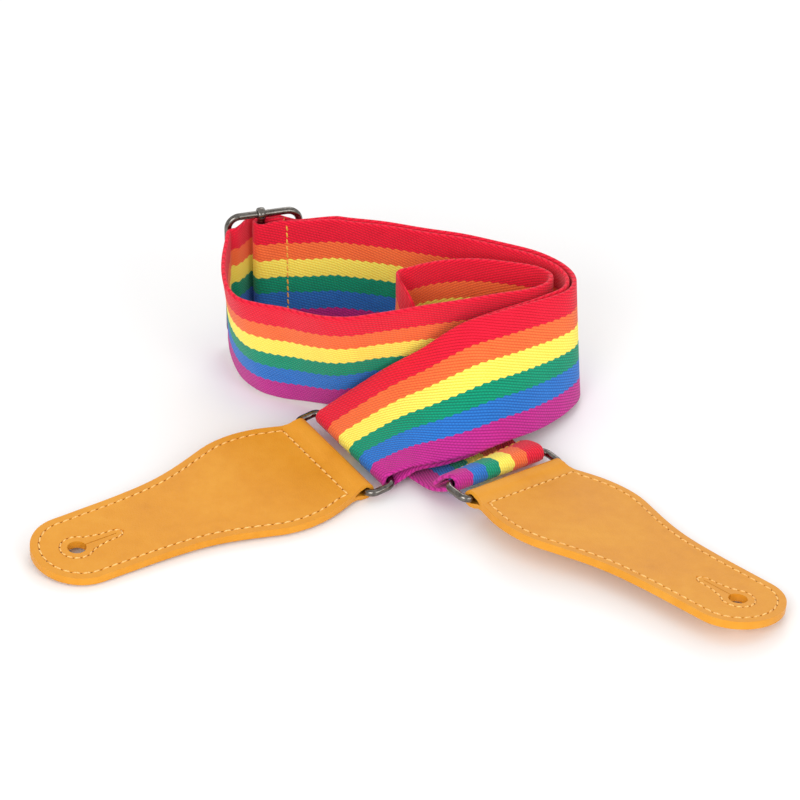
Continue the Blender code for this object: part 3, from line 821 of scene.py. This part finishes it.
def groove(path, low):
    """Channel cut along the seam, as a closed band down to the level low."""
    bm = bmesh.new()
    pts = [Vector(p) for p in path]
    rows = []
    for i, p in enumerate(pts):
        d = (pts[(i + 1) % len(pts)] - pts[i - 1]).normalized()
        n = Vector((-d.y, d.x)) * GROOVE_WIDTH / 2
        rows.append([bm.verts.new(c) for c in
                     ((p.x + n.x, p.y + n.y, 9.0), (p.x - n.x, p.y - n.y, 9.0),
                      (p.x - n.x * 0.5, p.y - n.y * 0.5, low),
                      (p.x + n.x * 0.5, p.y + n.y * 0.5, low))])
    joined_rows(bm, rows + rows[:1])
    return mesh_from(bm, "groove")


def make_leather(side, place, materials):
    """Leather end with its cut edges, seam channels, button hole and slit."""
    plate = prism(leather_outline(), -12, 12, "plate")
    hole_x, hole_r = BUTTON_HOLE
    ring = [(hole_x + hole_r * math.cos(math.radians(a)), hole_r * math.sin(math.radians(a)))
            for a in range(0, 360, 9)]
    slit = [(SLIT_END, -SLIT_WIDTH / 2), (hole_x, -SLIT_WIDTH / 2), (hole_x, SLIT_WIDTH / 2),
            (SLIT_END, SLIT_WIDTH / 2)]
    low = LEATHER_THICK / 2 - GROOVE_DEPTH
    mesh = combined(plate, [
        ("INTERSECT", side_prism(fold_profile(), 50, "sides")),
        ("DIFFERENCE", side_prism(tunnel_profile(), 60, "tunnel")),
        ("DIFFERENCE", prism(ring, -9, 9, "hole")),
        ("DIFFERENCE", prism(slit, -8, 8, "slit")),
        ("DIFFERENCE", groove(leather_outline(SEAM_INSET), low)),
        ("DIFFERENCE", groove(keyhole_path(), low)),
    ])
    mesh.materials.clear()
    for face in mesh.polygons:
        n = face.normal
        wall = abs(n.z) < 0.45 and not (n.x < -0.3 and face.center.x < 8)
        face.material_index = 1 if wall else 0
    mesh = rounded(mesh, 0.35)
    spots = np.zeros(len(mesh.vertices) * 3)
    mesh.vertices.foreach_get("co", spots)
    flat_place = mesh.attributes.new("flat_place", "FLOAT_VECTOR", "POINT")
    flat_place.data.foreach_set("vector", spots * MM)
    smooth(mesh, 40.0)
    piece = show(side + "_leather", mesh, materials, place, side + "_leather_end",
                 [side + "_leather_end"])
    flat = piece.modifiers.new("flat_faces", "WEIGHTED_NORMAL")
    flat.keep_sharp = True
    return piece


def lift_path(path, height):
    return [(x, y, height) for x, y in path]


def wire(name, points, radius, cyclic, material, body, node, steps=6):
    """Round wire along a path, standing for its CAD node."""
    curve = bpy.data.curves.new(name, "CURVE")
    curve.dimensions = "3D"
    curve.bevel_depth = radius
    curve.bevel_resolution = steps
    curve.use_fill_caps = not cyclic
    line = curve.splines.new("POLY")
    line.points.add(len(points) - 1)
    for slot, p in zip(line.points, points):
        slot.co = (*p, 1.0)
    line.use_cyclic_u = cyclic
    holder = solid(name + "_path", curve)
    bpy.context.view_layer.update()
    graph = bpy.context.evaluated_depsgraph_get()
    mesh = bpy.data.meshes.new_from_object(holder.evaluated_get(graph))
    bpy.data.objects.remove(holder, do_unlink=True)
    smooth(mesh)
    return show(name, mesh, [material], Matrix.Identity(4), body, [node])


def make_ring(side, bar, turn, direction, material):
    across = heading(*turn)
    out = unit(np.asarray(direction) - across * (np.asarray(direction) @ across))
    loop = rounded_loop(0, RING_LENGTH, -RING_HALF_WIDTH, RING_HALF_WIDTH, RING_CORNER, 12)
    path = [np.array(bar) + out * u + across * v for u, v in loop]
    wire(side + "_wire_ring", path, WIRE_RADIUS, True, material, side + "_ring", side + "_ring")


def eye_profile():
    """Section of a curled eye as (radius, along) pairs, rounded on its outside."""
    lip = 0.55
    out = []
    for k in range(9):
        a = math.radians(22.5 * k)
        out.append((EYE_OUTER - lip + lip * math.sin(a), -EYE_LENGTH / 2 * math.cos(a)))
    return out + [(EYE_INNER, EYE_LENGTH / 2 - 0.2), (EYE_INNER, -EYE_LENGTH / 2 + 0.2)]


def add_eye(bm, height):
    """Eye of the centre bar round the frame's rod at a height."""
    t = heading(GLIDE_AZIMUTH)
    inside = np.array([t[1], -t[0], 0.0])
    rows = []
    for i in range(40):
        a = math.radians(9 * i)
        radial = inside * math.cos(a) + np.array([0, 0, 1]) * math.sin(a)
        rows.append([bm.verts.new(Vector(glide_point(0, 0, height) + radial * r + t * u))
                     for r, u in eye_profile()])
    joined_rows(bm, rows + rows[:1])


def add_centre_rod(bm, low, high):
    rows = []
    for z in (low, high):
        row = []
        for k in range(24):
            a = math.radians(15 * k)
            spot = glide_point(WIRE_RADIUS * math.cos(a), WIRE_RADIUS * math.sin(a), z)
            row.append(bm.verts.new(Vector(spot)))
        rows.append(row)
    joined_rows(bm, rows)
    bm.faces.new(rows[0][::-1])
    bm.faces.new(rows[1])


def make_glide(material):
    top = GLIDE_BOTTOM + GLIDE_HEIGHT
    loop = rounded_loop(*GLIDE_SIDES, GLIDE_BOTTOM, top, GLIDE_CORNER, 12)
    wire("glide_wire_frame", [glide_point(u, 0, v) for u, v in loop], WIRE_RADIUS, True,
         material, "glide_frame", "glide_frame")
    bm = bmesh.new()
    for height in (GLIDE_BOTTOM, top):
        add_eye(bm, height)
    sunk = EYE_INNER + 0.5
    add_centre_rod(bm, GLIDE_BOTTOM + sunk, top - sunk)
    mesh = mesh_from(bm, "glide_bar")
    smooth(mesh, 50.0)
    show("glide_bar", mesh, [material], Matrix.Identity(4), "webbing",
         ["glide_centre_bar"])


def nearest_section(sections, along_from, along_to, travelled, point):
    """Section of the strap within a stretch whose middle is nearest a point."""
    best = None
    for s, section in zip(travelled, sections):
        if along_from <= s <= along_to:
            gap = np.linalg.norm(section[0] - point)
            if best is None or gap < best[0]:
                best = (gap, section)
    return best[1]


def web_seam(name, section, towards, materials, node):
    """Stitches across the strap on the face that looks towards a direction."""
    middle, width, normal, half = section
    up = Vector(normal if normal @ towards > 0 else -normal)
    base = Vector(middle) + up * (WEB_THICK / 2 + 0.02)
    ends = [base + Vector(width) * side * (half - WEB_STITCH_INSET) for side in (-1, 1)]
    stitches(name, ends, False, up, WEB_STITCH_LENGTH, WEB_STITCH_RADIUS, materials,
             Matrix.Identity(4), "webbing", node)


def make_floor():
    bm = bmesh.new()
    bmesh.ops.create_grid(bm, x_segments=8, y_segments=8, size=4.0)
    mesh = bpy.data.meshes.new("floor")
    bm.to_mesh(mesh)
    bm.free()
    floor = solid("floor", mesh)
    g = Graph("pale_floor", 0.8)
    g.shader.inputs["Base Color"].default_value = (0.96, 0.96, 0.96, 1.0)
    mesh.materials.append(g.material)


def add_light(name, place, size, power, aim):
    data = bpy.data.lights.new(name, "AREA")
    data.shape = "DISK"
    data.size = size
    data.energy = power
    lamp = bpy.data.objects.new(name, data)
    bpy.context.scene.collection.objects.link(lamp)
    lamp.location = place
    lamp.rotation_euler = (Vector(aim) - Vector(place)).to_track_quat("-Z", "Y").to_euler()


def make_studio():
    make_floor()
    world = bpy.data.worlds.new("studio")
    world.use_nodes = True
    background = world.node_tree.nodes["Background"]
    background.inputs[0].default_value = (1.0, 1.0, 1.0, 1.0)
    background.inputs[1].default_value = 0.80
    bpy.context.scene.world = world
    aim = (0.0, 0.0, 0.02)
    add_light("key", (-0.5, -1.4, 0.8), 0.9, 11.0, aim)
    add_light("fill", (0.9, -1.1, 0.7), 0.8, 5.0, aim)
    add_light("back", (0.2, 1.1, 0.9), 0.7, 3.0, aim)
    bpy.context.scene.view_settings.view_transform = "Standard"


def make_camera():
    data = bpy.data.cameras.new("camera")
    data.lens = CAMERA_LENS
    data.sensor_width = 36.0
    data.clip_end = 20.0
    camera = bpy.data.objects.new("camera", data)
    bpy.context.scene.collection.objects.link(camera)
    e = math.radians(CAMERA_ELEVATION)
    target = Vector((SHIFT[0] * MM, SHIFT[1] * MM, SHIFT[2] * MM))
    camera.location = target + CAMERA_DISTANCE * Vector((0.0, -math.cos(e), math.sin(e)))
    camera.rotation_euler = (target - camera.location).to_track_quat("-Z", "Y").to_euler()
    bpy.context.scene.camera = camera


def main():
    make_camera()
    make_studio()
    leather = leather_material()
    rim = rim_material()
    metal = metal_material()
    hole = painted_hole_shade_material()
    # Thread colours: lit colour, then painted shade between the plies
    leather_thread = thread_material("leather_thread", (252, 206, 124), (226, 160, 74))
    strap_thread = thread_material("strap_thread", (250, 196, 84), (214, 140, 44))
    sections, travelled = make_webbing(webbing_material())
    inside = np.array([math.sin(math.radians(GLIDE_AZIMUTH)),
                       -math.cos(math.radians(GLIDE_AZIMUTH)), 0.0])
    beside_glide = glide_point(*GLIDE_STITCHES, glide_middle())
    section = nearest_section(sections, 20, 60, travelled, beside_glide)
    web_seam("glide_stitches", section, inside, [strap_thread, hole], "glide_seam")
    total = travelled[-1]
    last = nearest_section(sections, total - 9, total, travelled,
                           sections[-1][0] + np.array([0, 0, 2.0]))
    web_seam("ring_stitches", last, np.array([0.0, 0.0, 1.0]), [strap_thread, hole], "ring_seam")
    make_glide(metal)
    half = LEATHER_THICK / 2
    for side, bar, turn, fall in (("left", LEFT_BAR, LEFT_BAR_TURN, LEFT_FALL),
                                  ("right", RIGHT_BAR, RIGHT_BAR_TURN, RIGHT_FALL)):
        slope, pitch = fall
        way = heading(turn[0] - 90) * (-1 if side == "left" else 1) + np.array([0, 0, slope])
        make_ring(side, bar, turn, way, metal)
        place = end_matrix(bar, turn, way, pitch)
        make_leather(side, place, [leather, rim])
        body = side + "_leather_end"
        level = half - GROOVE_DEPTH + STITCH_RADIUS * 0.7
        for kind, path in (("edge", leather_outline(SEAM_INSET)), ("keyhole", keyhole_path())):
            length = STITCH_LENGTH if kind == "edge" else KEYHOLE_STITCH_LENGTH
            stitches(side + "_" + kind + "_stitches", lift_path(path, level), True,
                     Vector((0, 0, 1)), length, STITCH_RADIUS,
                     [leather_thread, hole], place, body, side + "_" + kind + "_seam")


main()
